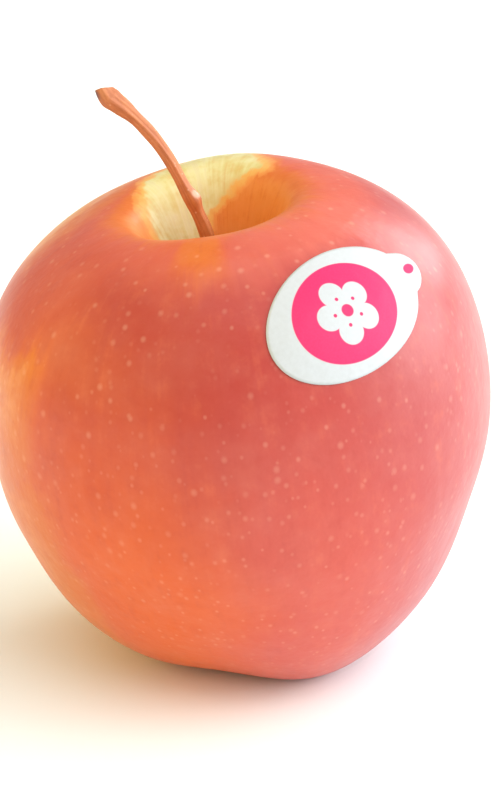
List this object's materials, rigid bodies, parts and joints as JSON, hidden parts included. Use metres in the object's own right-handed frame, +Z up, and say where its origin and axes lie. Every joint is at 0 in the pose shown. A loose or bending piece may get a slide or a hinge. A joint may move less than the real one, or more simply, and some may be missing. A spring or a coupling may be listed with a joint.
{
  "type": "apple",
  "caption": "Ripe apple with a pink-red blush over yellow, a woody stem in its cavity, a dried calyx underneath and an oval paper fruit label on its shoulder.",
  "frame": {"origin": "middle of the bounding box's bottom, on the surface the apple stands on", "axes": "+Z up, close to the fruit's own axis from calyx to stem, which leans about 6.5 degrees to -X and 5 degrees to -Y; the labelled side faces -Y, and +X is to the right seen from there"},
  "size_m": [0.0788, 0.0792, 0.0931],
  "materials": {
    "fruit": "satin",
    "stem": "matte",
    "calyx": "matte",
    "label": "satin"
  },
  "bodies": {
    "root": {"fruit": "fruit", "stem": "stem", "calyx": "calyx", "label": "label"}
  },
  "joints": []
}
